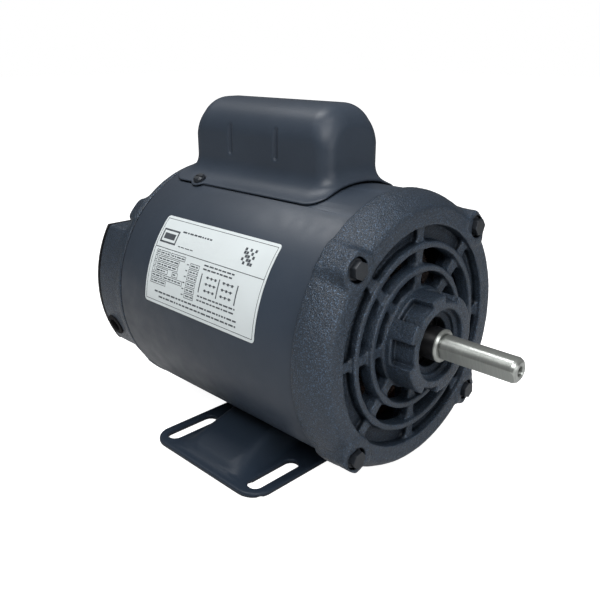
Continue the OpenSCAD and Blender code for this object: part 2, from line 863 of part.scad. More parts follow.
module capacitor_tabs() {
  color(brass) on_axis() at_capacitor() for (sx = [-1, 1])
    block(sx * 7 - 0.4, sx * 7 + 0.4, -3.2, 3.2, capacitor_rear - 8, capacitor_rear + 0.15);
}

module capacitor_cap() {
  wall = 1.4;
  cap_r = capacitor_r - 1;
  color("black") on_axis() at_capacitor() difference() {
    disc(cap_r, capacitor_rear - 13, capacitor_rear - 0.05);
    disc(cap_r - wall, capacitor_rear - 13 + wall, capacitor_rear + eps);
    for (sx = [-1, 1]) translate([sx * 7, 0, 0])
      disc(lead_r + 0.1, capacitor_rear - 20, capacitor_rear);
  }
}

module capacitor_pads() {
  color([0.20, 0.20, 0.20]) on_axis() for (z = [-24, 10]) difference() {
    block(-12, 12, 66, capacitor_y, z, z + 10);
    disc(shell_r + fit_gap, z - eps, z + 11);
    at_capacitor() disc(capacitor_r + fit_gap, z - eps, z + 11);
    block(-13, 13, 81, capacitor_y + eps, z - eps, z + 11);
  }
}

module capacitor_leads() {
  color([0.85, 0.83, 0.78]) on_axis() for (sx = [-1, 1])
    wire([
      [sx * 7, capacitor_y, capacitor_rear - 8.1], [sx * 7, capacitor_y, -58.4],
      [sx * 4, 78, -58.4], [sx * 4, 67, -58.4], [sx * 13, 62, -71], [sx * 14, 28.3, -80],
      [sx * 14, 28, -96], [sx * stud_x[3], 14, -101.9], [sx * stud_x[3], stud_y[1] + 1.6, -101.9]
    ], lead_r);
}

// Closed form of the hood, shrunk by a sheet thickness for its inside: half-round
// top with domed ends, and upright corners below.
module hood_form(shrink, base) {
  half_w = cover_half_w - shrink;
  top_r = half_w - 3;
  dome_r = cover_dome_r - shrink;
  end_r = cover_end_r - shrink;
  hull() for (sx = [-1, 1]) {
    for (z = [cover_rear + cover_dome_r, cover_front - cover_dome_r])
      translate([sx * (half_w - top_r), cover_top - shrink - top_r, z])
        rotate_extrude($fn = 48) intersection() {
          translate([top_r - dome_r, 0]) circle(dome_r, $fn = 24);
          translate([0, -dome_r]) square(2 * dome_r);
        }
    for (z = [cover_rear + cover_end_r, cover_front - cover_end_r])
      translate([sx * (half_w - end_r), base, z])
        rotate([-90, 0, 0]) cylinder(r = end_r, h = 5, $fn = 24);
  }
}

// Sloping foot of the hood, between its walls and the flange.
module hood_skirt(grow, top, base) {
  spread = 4;
  hull() {
    for (sx = [-1, 1], z = [cover_rear + cover_end_r, cover_front - cover_end_r]) {
      translate([sx * (cover_half_w - cover_end_r), top, z])
        rotate([-90, 0, 0]) cylinder(r = cover_end_r + grow, h = 0.1, $fn = 32);
      translate([sx * (cover_half_w - cover_end_r), base, z])
        rotate([-90, 0, 0]) cylinder(r = cover_end_r + grow + spread, h = 0.1, $fn = 32);
    }
  }
}

module cover_flange(r_in, r_out) {
  half_w = shell_r * sin(flange_half_angle);
  intersection() {
    ring(r_out, r_in, flange_rear, flange_front);
    union() {
      translate([0, 50, (flange_rear + flange_front) / 2]) rotate([-90, 0, 0])
        linear_extrude(50) rounded_rect(2 * half_w, flange_front - flange_rear, 10);
      for (s = [-1, 1]) radial(90 + s * cover_screw_angle, cover_screw_z)
        translate([0, 0, 60]) cylinder(r = 5.2, h = 20);
    }
  }
}

module capacitor_cover() {
  flange_r = shell_r + fit_gap;
  skirt_top = 79;
  dent_z = [-38, -1.5];
  color(paint) on_axis() difference() {
    union() {
      cover_flange(flange_r, flange_r + flange_t);
      hood_form(0, 66);
      hood_skirt(0, skirt_top, 68);
    }
    hood_form(cover_sheet, 60);
    disc(flange_r, cover_rear - 30, cover_front + 30);
    for (z = dent_z) translate([-cover_half_w - 0.4, 84, z])
      rotate([-90, 0, 0]) cylinder(r = 1.25, h = 15, $fn = 24);
    for (s = [-1, 1]) radial(90 + s * cover_screw_angle, cover_screw_z)
      translate([0, 0, 60]) cylinder(r = 1.9, h = 20);
  }
}

module capacitor_cover_screws() {
  color(dark_steel) on_axis() for (s = [-1, 1])
    radial(90 + s * cover_screw_angle, cover_screw_z)
      translate([0, 0, shell_r + flange_t + 0.15]) screw(3.6, 2.2, 1.65, 8);
}

// ---------------------------------------------------------------- nodes

frame_shell();
base_foot();
drive_end_shield();
rear_end_shield();
through_bolts();
shaft();
stator_core();
slot_liners();
slot_wedges();
main_winding();
start_winding();
rotor_core();
rotor_cage();
bearing_outer_ring(drive_bearing);  // drive_bearing_outer_ring
bearing_inner_ring(drive_bearing);  // drive_bearing_inner_ring
bearing_balls(drive_bearing);  // drive_bearing_balls
bearing_cage(drive_bearing);  // drive_bearing_cage
bearing_shields(drive_bearing);  // drive_bearing_shields
bearing_outer_ring(rear_bearing);  // rear_bearing_outer_ring
bearing_inner_ring(rear_bearing);  // rear_bearing_inner_ring
bearing_balls(rear_bearing);  // rear_bearing_balls
bearing_cage(rear_bearing);  // rear_bearing_cage
bearing_shields(rear_bearing);  // rear_bearing_shields
wave_washer();
governor_base();
governor_pins();
governor_weight_upper();
governor_weight_lower();
governor_spring();
governor_spool();
switch_plate();
switch_plate_screws();
switch_arm();
switch_arm_pin();
fixed_contact();
moving_contact();
terminal_board();
terminal_board_screws();
terminal_studs();
motor_leads();
ground_screw();
cable_grommet();
terminal_cover();
terminal_cover_screws();
capacitor_can();
capacitor_terminal_disc();
capacitor_tabs();
capacitor_cap();
capacitor_pads();
capacitor_leads();
capacitor_cover();
capacitor_cover_screws();
nameplate();
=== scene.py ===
"""Looks of a foot-mounted, open drip-proof electric motor, on top of its CAD frame.

Pressed and cast pieces are modelled as signed distance fields and skinned with
surface nets, which gives them the fillets of real castings and pressings.  The
governor's spring is a coil.  The other pieces are the CAD nodes themselves with
procedural materials.

Lengths in this file are millimetres.  "Local" coordinates are about the shaft
line: z towards the drive end, y up.  "Row" coordinates are the frame's own.
"""

import json
import math

import bpy
import numpy as np
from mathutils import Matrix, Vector


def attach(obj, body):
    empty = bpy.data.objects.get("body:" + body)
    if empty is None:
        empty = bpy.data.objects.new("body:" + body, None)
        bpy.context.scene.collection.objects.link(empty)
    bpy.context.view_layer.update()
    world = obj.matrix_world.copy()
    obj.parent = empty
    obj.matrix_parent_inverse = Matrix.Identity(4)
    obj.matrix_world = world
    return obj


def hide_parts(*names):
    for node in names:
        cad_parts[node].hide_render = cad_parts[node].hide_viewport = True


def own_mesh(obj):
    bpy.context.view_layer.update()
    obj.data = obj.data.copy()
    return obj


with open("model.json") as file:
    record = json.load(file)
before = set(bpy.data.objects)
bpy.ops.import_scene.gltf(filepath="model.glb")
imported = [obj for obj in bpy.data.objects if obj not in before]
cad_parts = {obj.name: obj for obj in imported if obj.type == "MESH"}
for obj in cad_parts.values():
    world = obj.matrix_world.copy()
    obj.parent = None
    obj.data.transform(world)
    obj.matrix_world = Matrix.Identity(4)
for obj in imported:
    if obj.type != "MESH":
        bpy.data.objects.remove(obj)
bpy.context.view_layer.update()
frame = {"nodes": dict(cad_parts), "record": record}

MM = 0.001
SHAFT_HEIGHT = 76.2
SHELL_R = 73.0
FLANGE_R = 73.03

# Foot
FOOT_SIZE = (165.8, 89.2)
FOOT_CORNER = 12.0
FOOT_SHEET = 3.0
SLOT_PITCH = (119.4, 69.85)
SLOT_SIZE = (34.1, 8.7)
SADDLE_FOOT_X = 77.5
SADDLE_SLOPE = 0.36
SADDLE_LIFT = 1.8
SADDLE_HALF = 24
SADDLE_TAPER = 4
SADDLE_LENGTH = 39.5

# Shell and through-bolts
BOLT_CIRCLE_R = 68.4
BOLT_ANGLE = 46.7
SHELL_FRONT = 62.7
SHELL_REAR = -80.8
SPIGOT_R = 71.15
HOLLOW_R = 66

# Drive end shield
FACE_Z = 80.6
WEB_BACK = 72.5
WEB_FRONT = 78.2
RING_FRONT = 80.3
RING_INNER_R = (34.2, 46.2)
RING_WIDTH = 3.8
HUB_R = 26.0
HUB_BACK = 64
HUB_FRONT = 94.0
HUB_POCKETS = (72.0, 126.5, 178.5, 252.5)
HUB_POCKET_HALF_ANGLE = 15
SPOKES = 8
SPOKE_WIDTH = 5.5
RIB_HALF = 2
# Each row of slots: inner radius, outer radius, corner radius
OPEN_ROWS = ((HUB_R + 1, 34.3, 2.4), (38, 46.3, 2.8))
BLIND_ROW = (50, 57.6, 2.6)
BLIND_FLOOR = 74.8
LUG_DISC_R = 9
LUG_LIMIT_R = 75.2
LUG_FRONT = 80.4
BOLT_POCKET_R = 5.8
BOLT_HOLE_R = 2.7
DRIVE_SEAT_R = 20.03
DRIVE_SEAT_FRONT = 82
SHAFT_MOUTH_R = 12.8
# Steps of the recess in the hub's face: radius, floor, fillet of the rim
HUB_STEPS = ((18.5, 90.5, 0.8), (16.4, 88.2, 0.6))

# Rear end shield
REAR_WALL = (-90.0, -86.0)
SEAM = 1.4
BOSS_R = 7.5
BOSS_LIMIT_R = 72
BOSS_BACK = -94.0
TAPPED_HOLE_R = 2.43
BAND_R = 71.5
BAND_HALF = 37.5
BAND_BACK = -108.0
WALL = 3.0
# Each pair of air slots: inner radius, outer radius, half angle
AIR_SLOTS = ((45, 51, 26), (55, 61, 33))
AIR_SLOT_CORNER = 2.8
REAR_SEAT_R = 17.53
REAR_SEAT_BOSS_R = 21.5
RING_RELIEF_R = 14.5
RING_RELIEF_DEPTH = 1.2
SHAFT_END_R = 8.5
SWITCH_POSTS = ((50, 21), (50, -1))
COVER_POSTS = ((-56, 24), (56, -24))
BOARD_POSTS = ((-25, 0), (25, 0))
LEAD_WINDOW = (44.3, -14.5)
SIDE_WINDOW = (14, 28)
CABLE_ANGLE = 200
CABLE_R = 6
CABLE_Z = -101

# Capacitor cover
COVER_HALF_W = 22.0
COVER_TOP = 112.6
COVER_Z = (-72.5, 35.0)
FLANGE_Z = (-79.5, 39.4)
FLANGE_HALF_ANGLE = 26.6
COVER_SCREW = (24.5, -55.0)
COVER_SHEET = 1.3
FLANGE_LIFT = 0.3
FLANGE_CORNER = 10
ARCH_R = 19.0
TAB_R = 5.2
TAB_HOLE_R = 1.9
DENT_Z = (-38, -1.5)
DENT_Y = 91.5
DENT_HALF = 7
DENT_R = 1.6

# Governor spring
SPRING_TURNS = 3
SPRING_R = 13.7
SPRING_WIRE_R = 0.65
SPRING_Z = (-57.5, -51.9)

# Label
LABEL_MID = 156.0
LABEL_Z = (-55.2, 36.5)
LABEL_HALF = 24.6
LABEL_R = 73.28

# Behind this station the shaft is darkened to near black, in row metres
JOURNAL_Y = -0.0944


# ------------------------------------------------------------------ fields

class Grid:
    """A block of sample points in millimetres, with polar coordinates about z."""

    def __init__(self, low, high, step):
        axes = [np.arange(a, b + step, step, dtype=np.float32) for a, b in zip(low, high)]
        self.low = np.array(low, float)
        self.step = step
        self.x, self.y, self.z = np.meshgrid(*axes, indexing="ij")
        self.radius = np.hypot(self.x, self.y)
        self.angle = np.arctan2(self.y, self.x)

    def around(self, degrees):
        """The angle from a direction, in radians, between -pi and pi."""
        turn = self.angle - math.radians(degrees)
        return np.arctan2(np.sin(turn), np.cos(turn))


def join(a, b, fillet=0.0):
    """Union, with a fillet along the crease."""
    if not fillet:
        return np.minimum(a, b)
    share = np.clip(0.5 + 0.5 * (b - a) / fillet, 0, 1)
    return b + (a - b) * share - fillet * share * (1 - share)


def common(a, b, fillet=0.0):
    """Intersection, with its edge rounded."""
    return -join(-a, -b, fillet)


def cut(a, b, fillet=0.0):
    """a without b, with the edges of the cut rounded."""
    return common(a, -b, fillet)


def between(value, low, high):
    """A slab from low to high."""
    return np.maximum(low - value, value - high)


def rod(grid, radius, low, high, at=(0.0, 0.0), fillet=0.0):
    """A cylinder along z."""
    side = np.hypot(grid.x - at[0], grid.y - at[1]) - radius
    return common(side, between(grid.z, low, high), fillet)


def beyond(u, v, p, q):
    """Distance to the right of the line from p to q, in the plane of u and v."""
    du, dv = q[0] - p[0], q[1] - p[1]
    return ((u - p[0]) * dv - (v - p[1]) * du) / math.hypot(du, dv)


def round_corner(du, dv, corner):
    """Two pairs of sides meeting in a corner; both distances are grown by its radius."""
    outside = np.hypot(np.maximum(du, 0), np.maximum(dv, 0))
    return outside + np.minimum(np.maximum(du, dv), 0) - corner


def rounded_rect(u, v, half_u, half_v, corner):
    """A flat rounded rectangle about the origin of u and v."""
    return round_corner(np.abs(u) - half_u + corner, np.abs(v) - half_v + corner, corner)


def at_bolts():
    """Places of the four through-bolts, round the shaft line."""
    for i in range(4):
        turn = math.radians(BOLT_ANGLE + 90 * i)
        yield BOLT_CIRCLE_R * math.cos(turn), BOLT_CIRCLE_R * math.sin(turn)


def skin(field, grid):
    """Points and quads of the surface where the field is zero, by surface nets."""
    inside = field < 0
    corners = sum(
        inside[i:i + inside.shape[0] - 1, j:j + inside.shape[1] - 1, k:k + inside.shape[2] - 1]
        .astype(np.uint8)
        for i in (0, 1) for j in (0, 1) for k in (0, 1)
    )
    active = (corners > 0) & (corners < 8)
    cells = np.argwhere(active)
    number = np.full(active.shape, -1, np.int64)
    number[active] = np.arange(len(cells))
    total = np.zeros((len(cells), 3))
    count = np.zeros(len(cells))
    for axis in range(3):
        for offset in np.ndindex(2, 2):
            start = np.insert(np.array(offset), axis, 0)
            end = start.copy()
            end[axis] = 1
            a = field[tuple((cells + start).T)]
            b = field[tuple((cells + end).T)]
            crossing = (a < 0) != (b < 0)
            along = a[crossing] / (a[crossing] - b[crossing])
            point = np.tile(start.astype(float), (len(along), 1))
            point[:, axis] = along
            total[crossing] += point
            count[crossing] += 1
    points = grid.low + (cells + total / count[:, None]) * grid.step
    quads = []
    for axis in range(3):
        u, v = (axis + 1) % 3, (axis + 2) % 3
        low = [slice(None)] * 3
        high = [slice(None)] * 3
        low[axis], high[axis] = slice(0, -1), slice(1, None)
        leaves = inside[tuple(low)] & ~inside[tuple(high)]
        enters = ~inside[tuple(low)] & inside[tuple(high)]
        for edges, order in ((leaves, (0, 1, 2, 3)), (enters, (3, 2, 1, 0))):
            at = np.argwhere(edges)
            ring = []
            for du, dv in ((-1, -1), (0, -1), (0, 0), (-1, 0)):
                cell = at.copy()
                cell[:, u] += du
                cell[:, v] += dv
                ring.append(number[tuple(cell.T)])
            quads.append(np.stack([ring[i] for i in order], axis=1))
    return points, np.vstack(quads)


def lattice_noise(points, size, seed):
    """Smooth noise between -1 and 1, with features of the given size."""
    lattice = np.random.default_rng(seed).uniform(-1, 1, (32, 32, 32))
    scaled = points / size
    base = np.floor(scaled).astype(int)
    t = scaled - base
    t = t * t * (3 - 2 * t)
    value = np.zeros(len(points))
    for corner in np.ndindex(2, 2, 2):
        weight = np.prod(np.where(np.array(corner) == 1, t, 1 - t), axis=1)
        value += weight * lattice[tuple(((base + corner) % 32).T)]
    return value


# ------------------------------------------------------------------ pieces

def to_row(points):
    """Local millimetres to row-frame metres."""
    return np.stack([points[:, 0], -points[:, 2], points[:, 1] + SHAFT_HEIGHT], axis=1) * MM


def add_piece(name, points, faces, body, slot, nodes=()):
    """A smooth-shaded mesh in row-frame metres, riding on a body."""
    mesh = bpy.data.meshes.new(name)
    faces = faces.tolist() if isinstance(faces, np.ndarray) else faces
    mesh.from_pydata(points.tolist(), [], faces)
    mesh.polygons.foreach_set("use_smooth", np.ones(len(mesh.polygons), bool))
    mesh.update()
    piece = bpy.data.objects.new(name, mesh)
    bpy.context.scene.collection.objects.link(piece)
    piece.data.materials.append(MATERIALS[slot])
    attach(piece, body)
    if nodes:
        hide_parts(*nodes)
    return piece


def relax(piece, factor, rounds):
    """Evens out the small steps of a skinned surface."""
    smooth = piece.modifiers.new("Relax", "SMOOTH")
    smooth.factor = factor
    smooth.iterations = rounds


def roughen(points, faces, grains):
    """Moves points along their normals by noise: grains are (size, depth, seed)."""
    a, b, c, d = (points[faces[:, i]] for i in range(4))
    face_normals = np.cross(c - a, d - b)
    normals = np.zeros_like(points)
    for i in range(4):
        np.add.at(normals, faces[:, i], face_normals)
    normals /= np.maximum(np.linalg.norm(normals, axis=1), 1e-9)[:, None]
    depth = sum(amount * lattice_noise(points, size, seed) for size, amount, seed in grains)
    return points + normals * depth[:, None]


def spoke_turn(grid):
    """The angle from the nearest spoke's middle, in radians."""
    pitch = 2 * math.pi / SPOKES
    return (grid.angle + pitch / 2) % pitch - pitch / 2


def grille_row(grid, r_in, r_out, corner):
    """One row of curved slots between the spokes."""
    mid = (r_in + r_out) / 2
    half_spoke = math.asin(SPOKE_WIDTH / 2 / mid)
    gap = grid.radius * np.sin(np.abs(spoke_turn(grid)) - half_spoke)
    du = np.abs(grid.radius - mid) - (r_out - r_in) / 2 + corner
    return round_corner(du, corner - gap, corner)


def drive_rim(grid):
    """The casting's outer ring: chamfered in front, hollow behind, stepped into the shell."""
    rim = [(74.2, SHELL_FRONT), (74.2, 66.5), (72.9, 71.5), (70.4, 76.5), (67.1, FACE_Z)]
    spigot_back = SHELL_FRONT - 7
    shape = common(grid.z - FACE_Z, spigot_back - grid.z)
    for p, q in zip(rim, rim[1:]):
        shape = common(shape, beyond(grid.radius, grid.z, p, q), fillet=1.4)
    spigot_step = np.maximum(SPIGOT_R - grid.radius, grid.z - SHELL_FRONT - 0.05)
    shape = cut(shape, spigot_step)
    cone_start, cone_end, opening_r = (HOLLOW_R, 66), (61.5, WEB_BACK), 57.7
    hollow = np.maximum(grid.radius - HOLLOW_R, grid.z - cone_start[1])
    cone = beyond(grid.radius, grid.z, cone_start, cone_end)
    hollow = join(hollow, np.maximum(cone, grid.z - WEB_BACK))
    hollow = join(hollow, grid.radius - opening_r)
    return cut(shape, hollow, fillet=0.8)


def add_web(shape, grid):
    """The grille's web with its raised rings, the hub and the ribs behind the spokes."""
    web = common(between(grid.radius, 22, 58.5), between(grid.z, WEB_BACK, WEB_FRONT))
    shape = join(shape, web, fillet=0.8)
    for inner in RING_INNER_R:
        ring = common(between(grid.radius, inner, inner + RING_WIDTH),
                      between(grid.z, WEB_BACK, RING_FRONT), fillet=1.0)
        shape = join(shape, ring, fillet=1.2)
    shape = join(shape, rod(grid, HUB_R, HUB_BACK, HUB_FRONT, fillet=1.0), fillet=1.5)
    side = np.abs(grid.radius * np.sin(spoke_turn(grid))) - RIB_HALF
    rib = common(side, between(grid.z, 68, WEB_BACK + 0.5))
    return join(shape, common(rib, between(grid.radius, HUB_R - 2, 62)), fillet=1.0)


def cut_grille(shape, grid):
    """Two rows of open slots and an outer row of blind pockets."""
    through = between(grid.z, WEB_BACK - 2, RING_FRONT + 2)
    for row in OPEN_ROWS:
        shape = cut(shape, common(grille_row(grid, *row), through), fillet=1.0)
    pocket = between(grid.z, BLIND_FLOOR, RING_FRONT + 2)
    blind = common(grille_row(grid, *BLIND_ROW), pocket, fillet=0.8)
    return cut(shape, blind, fillet=1.0)


def cut_hub(shape, grid):
    """Bearing seat, shaft mouth, stepped recess and the pockets round the hub."""
    shape = cut(shape, rod(grid, DRIVE_SEAT_R, HUB_BACK - 4, DRIVE_SEAT_FRONT))
    shape = cut(shape, rod(grid, SHAFT_MOUTH_R, HUB_BACK - 4, HUB_FRONT + 3), fillet=0.5)
    for radius, floor, fillet in HUB_STEPS:
        shape = cut(shape, rod(grid, radius, floor, HUB_FRONT + 3, fillet=0.4), fillet)
    for middle in HUB_POCKETS:
        away = np.abs(grid.around(middle))
        side = grid.radius * np.sin(away - math.radians(HUB_POCKET_HALF_ANGLE))
        side = np.where(away > math.pi / 2, grid.radius, side)
        pocket = common(common(side, 22.3 - grid.radius, fillet=0.4),
                        between(grid.z, DRIVE_SEAT_FRONT, HUB_FRONT + 3), fillet=0.4)
        shape = cut(shape, pocket, fillet=0.4)
    return shape


def drive_shield_field(grid):
    """The drive end casting, in local millimetres."""
    shape = add_web(drive_rim(grid), grid)
    for at in at_bolts():
        lug = common(rod(grid, LUG_DISC_R, SHELL_FRONT + 0.5, LUG_FRONT, at, fillet=1.0),
                     grid.radius - LUG_LIMIT_R, fillet=1.5)
        shape = join(shape, lug, fillet=3.5)
    shape = cut_grille(shape, grid)
    for at in at_bolts():
        pocket = rod(grid, BOLT_POCKET_R, WEB_FRONT - 0.2, FACE_Z + 3, at, fillet=0.5)
        shape = cut(shape, pocket, fillet=0.5)
        shape = cut(shape, rod(grid, BOLT_HOLE_R, SHELL_FRONT - 12.7, FACE_Z - 0.6, at))
    return cut_hub(shape, grid)


def rear_rim(grid):
    """The rear casting's dish: chamfered behind, hollow inside, stepped into the shell."""
    edge = SHELL_REAR - SEAM
    front = -74
    rim = [(72.6, edge), (72.6, REAR_WALL[1]), (69.5, REAR_WALL[0])]
    shape = common(REAR_WALL[0] - grid.z, grid.z - front)
    for p, q in zip(rim, rim[1:]):
        shape = common(shape, -beyond(grid.radius, grid.z, p, q), fillet=1.2)
    spigot_step = np.maximum(SPIGOT_R - grid.radius, edge - grid.z)
    shape = cut(shape, spigot_step)
    cone_start, cone_end = (HOLLOW_R, -82), (62, REAR_WALL[1])
    hollow = np.maximum(grid.radius - HOLLOW_R, cone_start[1] - grid.z)
    cone = -beyond(grid.radius, grid.z, cone_start, cone_end)
    hollow = join(hollow, np.maximum(cone, REAR_WALL[1] - grid.z))
    return cut(shape, hollow, fillet=0.8)


def cut_air_slots(shape, grid):
    """Curved slots above and below the wiring compartment."""
    for side in (90, 270):
        away = np.abs(grid.around(side))
        for r_in, r_out, half in AIR_SLOTS:
            du = np.abs(grid.radius - (r_in + r_out) / 2) - (r_out - r_in) / 2 + AIR_SLOT_CORNER
            dv = grid.radius * (away - math.radians(half)) + AIR_SLOT_CORNER
            slot = round_corner(du, dv, AIR_SLOT_CORNER)
            through = between(grid.z, REAR_WALL[0] - 3, REAR_WALL[1] + 3)
            shape = cut(shape, common(slot, through), fillet=0.9)
    return shape


def band_outline(grid, radius, half_height):
    """The wiring compartment's outline: a disc with a flat top and bottom."""
    return common(grid.radius - radius, np.abs(grid.y) - half_height, fillet=1.5)


def add_compartment(shape, grid):
    """The wall round the wiring compartment, with the room behind the dish kept open."""
    outer = common(band_outline(grid, BAND_R, BAND_HALF),
                   between(grid.z, BAND_BACK, REAR_WALL[1] + 2), fillet=0.6)
    inner = common(band_outline(grid, BAND_R - WALL, BAND_HALF - WALL),
                   between(grid.z, BAND_BACK - 5, REAR_WALL[0]), fillet=0.8)
    under = common(band_outline(grid, 60, BAND_HALF - WALL), between(grid.z, REAR_WALL[0], -80))
    room = join(inner, cut(under, -(grid.z - REAR_WALL[1])))
    return join(shape, cut(outer, room), fillet=2.0)


def add_posts(shape, grid):
    """The bearing's boss and the posts of the switch, the terminal cover and the board."""
    shape = join(shape, rod(grid, REAR_SEAT_BOSS_R, REAR_WALL[0] + 1, -74, fillet=0.6), fillet=1.5)
    for at in SWITCH_POSTS:
        shape = join(shape, rod(grid, 3.5, REAR_WALL[1] - 1, -76, at), fillet=1.0)
    for at in COVER_POSTS:
        shape = join(shape, rod(grid, 4, BAND_BACK, REAR_WALL[0] + 1, at), fillet=1.5)
        shape = cut(shape, rod(grid, 1.5, BAND_BACK - 3, BAND_BACK + 10, at))
    for at in BOARD_POSTS:
        shape = join(shape, rod(grid, 3.5, -96, REAR_WALL[0] + 1, at), fillet=1.0)
    return shape


def cut_rear_bores(shape, grid):
    """Bearing seat, tapped bolt holes, lead windows and the cable opening."""
    inside = -70
    shape = cut(shape, rod(grid, REAR_SEAT_R, REAR_WALL[1], inside))
    # Only the bearing's outer ring may touch the wall, so the turning inner ring is relieved
    shape = cut(shape, rod(grid, RING_RELIEF_R, REAR_WALL[1] - RING_RELIEF_DEPTH, inside))
    shape = cut(shape, rod(grid, SHAFT_END_R, REAR_WALL[1] - 2, inside))
    for at in at_bolts():
        shape = cut(shape, rod(grid, TAPPED_HOLE_R, BOSS_BACK + 1.5, inside, at))
    for sign in (-1, 1):
        for radius, (x, y) in ((6, LEAD_WINDOW), (4, SIDE_WINDOW)):
            shape = cut(shape, rod(grid, radius, REAR_WALL[0] - 3, -80, (sign * x, y)), fillet=0.5)
    turn = math.radians(CABLE_ANGLE)
    across = -math.sin(turn) * grid.x + math.cos(turn) * grid.y
    along = math.cos(turn) * grid.x + math.sin(turn) * grid.y
    opening = common(np.hypot(across, grid.z - CABLE_Z) - CABLE_R, between(along, 60, 80))
    return cut(shape, opening, fillet=0.5)


def rear_shield_field(grid):
    """The rear end casting with its wiring compartment, in local millimetres."""
    shape = cut_air_slots(rear_rim(grid), grid)
    boss_front = SHELL_REAR - SEAM - 1.5
    for at in at_bolts():
        boss = common(rod(grid, BOSS_R, BOSS_BACK, boss_front, at, fillet=2.5),
                      grid.radius - BOSS_LIMIT_R, fillet=2.0)
        shape = join(shape, boss, fillet=4.0)
    shape = add_posts(add_compartment(shape, grid), grid)
    return cut_rear_bores(shape, grid)


def saddle_field(grid):
    """The raised middle of the foot, rising towards the shell; its ends and toe slope."""
    inward = SADDLE_FOOT_X - np.abs(grid.x)
    above = grid.z - FOOT_SHEET
    roof = FOOT_SHEET + SADDLE_LIFT + SADDLE_SLOPE * inward
    saddle = (grid.z - roof) / math.hypot(1, SADDLE_SLOPE)
    half = SADDLE_HALF - SADDLE_TAPER * np.clip(inward / SADDLE_LENGTH, 0, 1)
    rise = np.clip(inward * SADDLE_SLOPE, 0.5, 30)
    foot_flare, end_lean, evening = 3.0, 5, 0.8
    ends = (np.abs(grid.y) - half - foot_flare + above / rise * end_lean) * evening
    saddle = common(saddle, ends, fillet=3.0)
    toe_lean = 0.9
    toe = (np.abs(grid.x) - SADDLE_FOOT_X + toe_lean * above) / 1.35
    return common(saddle, toe, fillet=2.0)


def foot_field(grid):
    """The pressed foot, in row millimetres."""
    plate = grid.z - FOOT_SHEET
    top = join(plate, saddle_field(grid), fillet=2.5)
    shape = common(top, -(top + FOOT_SHEET), fillet=0.4)
    outline = rounded_rect(grid.x, grid.y, FOOT_SIZE[0] / 2, FOOT_SIZE[1] / 2, FOOT_CORNER)
    shape = common(shape, outline, fillet=1.0)
    shape = common(shape, -grid.z, fillet=0.3)
    for sx in (-1, 1):
        for sy in (-1, 1):
            u = grid.x - sx * SLOT_PITCH[0] / 2
            v = grid.y - sy * SLOT_PITCH[1] / 2
            slot = rounded_rect(u, v, SLOT_SIZE[0] / 2, SLOT_SIZE[1] / 2, SLOT_SIZE[1] / 2)
            shape = cut(shape, slot, fillet=0.5)
    shell = np.hypot(grid.x, grid.z - SHAFT_HEIGHT) - FLANGE_R
    return cut(shape, shell)


def hood_field(grid):
    """The hood above the shell: an arch with domed ends and two dents on its near side."""
    base_y = 50
    section = rounded_rect(grid.x, grid.y - base_y, COVER_HALF_W, COVER_TOP - base_y, ARCH_R)
    middle, half = sum(COVER_Z) / 2, (COVER_Z[1] - COVER_Z[0]) / 2
    ends = np.abs(grid.z - middle) - half
    # The end corners grow rounder towards the top
    corner = 8.5 + 4.5 * np.clip((grid.y - 92) / 12, 0, 1)
    hood = round_corner(section + corner, ends + corner, corner)
    for z in DENT_Z:
        past_end = np.maximum(np.abs(grid.y - DENT_Y) - DENT_HALF, 0)
        dent = np.hypot(grid.x + COVER_HALF_W + 0.1, np.hypot(grid.z - z, past_end)) - DENT_R
        hood = cut(hood, dent, fillet=0.8)
    return hood


def cover_field(grid):
    """The pressed capacitor cover with its flange and screw tabs, in local millimetres."""
    outer = join(hood_field(grid), grid.radius - FLANGE_R - 1.5, fillet=9.0)
    shape = common(outer, -(outer + COVER_SHEET), fillet=0.2)
    shape = common(shape, FLANGE_R + FLANGE_LIFT - grid.radius)
    arc = grid.around(90) * SHELL_R
    half_arc = math.radians(FLANGE_HALF_ANGLE) * SHELL_R
    flange_mid, flange_half = sum(FLANGE_Z) / 2, (FLANGE_Z[1] - FLANGE_Z[0]) / 2
    outline = rounded_rect(arc, grid.z - flange_mid, half_arc, flange_half, FLANGE_CORNER)
    screws = []
    for sign in (-1, 1):
        tab_arc = sign * math.radians(COVER_SCREW[0]) * SHELL_R
        screws.append(np.hypot(arc - tab_arc, grid.z - COVER_SCREW[1]))
    for screw in screws:
        outline = join(outline, screw - TAB_R, fillet=2.0)
    shape = common(shape, outline, fillet=0.5)
    for screw in screws:
        shape = cut(shape, screw - TAB_HOLE_R)
    return shape


def build_drive_shield():
    grid = Grid((-77, -77, 54), (77, 77, 96), 0.55)
    points, faces = skin(drive_shield_field(grid), grid)
    points = roughen(points, faces, ((1.5, 0.09, 11), (4.0, 0.06, 12), (14.0, 0.08, 13)))
    piece = add_piece("drive_end_casting", to_row(points), faces, "stator", "cast_paint",
                      ["drive_end_shield"])
    relax(piece, 0.4, 2)


def build_rear_shield():
    grid = Grid((-76, -76, -110), (76, 76, -72), 0.7)
    points, faces = skin(rear_shield_field(grid), grid)
    points = roughen(points, faces, ((1.6, 0.04, 21), (4.0, 0.05, 22), (14.0, 0.06, 23)))
    piece = add_piece("rear_end_casting", to_row(points), faces, "stator", "cast_paint",
                      ["rear_end_shield"])
    relax(piece, 0.4, 2)


def build_foot():
    grid = Grid((-84, -46, -1.5), (84, 46, 19), 0.6)
    points, faces = skin(foot_field(grid), grid)
    piece = add_piece("pressed_foot", points * MM, faces, "stator", "shell_paint", ["base_foot"])
    # The foot gets a darkened copy of the shell's paint: painted shade for the shadow under the
    # motor
    piece.data.materials[0] = MATERIALS["foot_paint_painted_shade"]
    relax(piece, 0.5, 3)


def build_cover():
    grid = Grid((-37, 60, -80), (37, 116, 42), 0.5)
    points, faces = skin(cover_field(grid), grid)
    piece = add_piece("pressed_cover", to_row(points), faces, "stator", "shell_paint",
                      ["capacitor_cover"])
    relax(piece, 0.5, 3)


